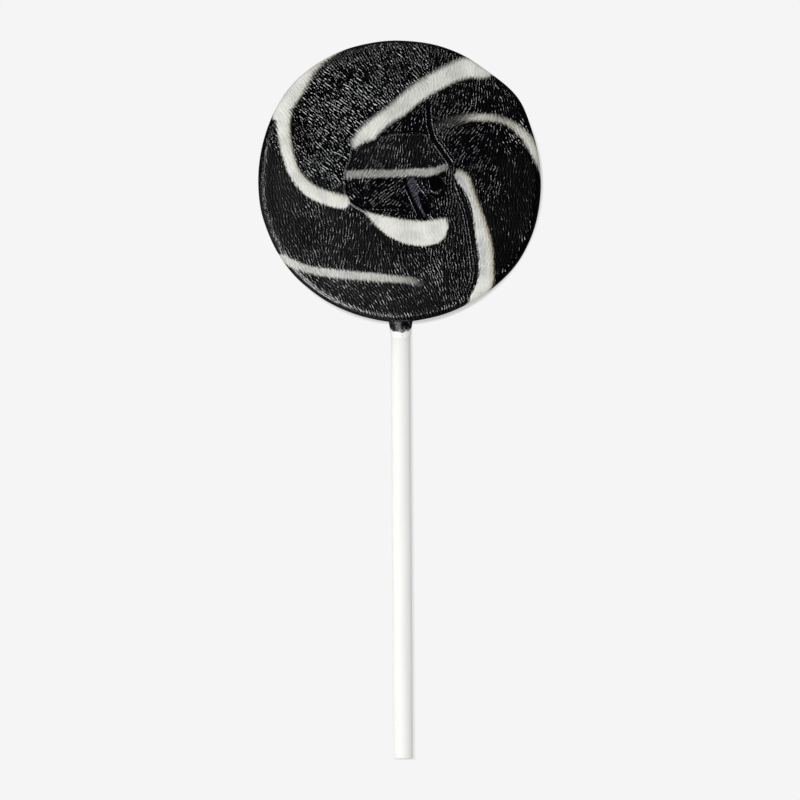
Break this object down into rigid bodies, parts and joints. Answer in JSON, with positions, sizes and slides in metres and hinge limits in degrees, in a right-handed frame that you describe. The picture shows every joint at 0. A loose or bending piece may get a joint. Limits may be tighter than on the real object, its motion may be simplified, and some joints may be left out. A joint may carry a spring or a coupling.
{
  "type": "lollipop",
  "caption": "Flat round swirl lollipop of black candy with curved white stripes, on a straight white paper stick.",
  "frame": {"origin": "middle of the candy disc's flat back face, on which it lies", "axes": "+Z out of the shown face, +Y from the stick towards the far rim of the disc, +X to the shown face's right"},
  "size_m": [0.0653, 0.1659, 0.011],
  "materials": {
    "black_candy": "glossy pressed sugar, finely wrinkled on its faces",
    "white_candy": "satin pulled sugar",
    "stick_paper": "smooth rolled white paper"
  },
  "bodies": {
    "root": {"candy_body": "black_candy", "white_stripe_1": "white_candy", "white_stripe_2": "white_candy", "white_stripe_3": "white_candy", "white_stripe_4": "white_candy", "white_stripe_5": "white_candy", "white_stripe_6": "white_candy", "white_stripe_7": "white_candy", "white_stripe_8": "white_candy", "white_stripe_9": "white_candy", "stick": "stick_paper"}
  },
  "joints": []
}
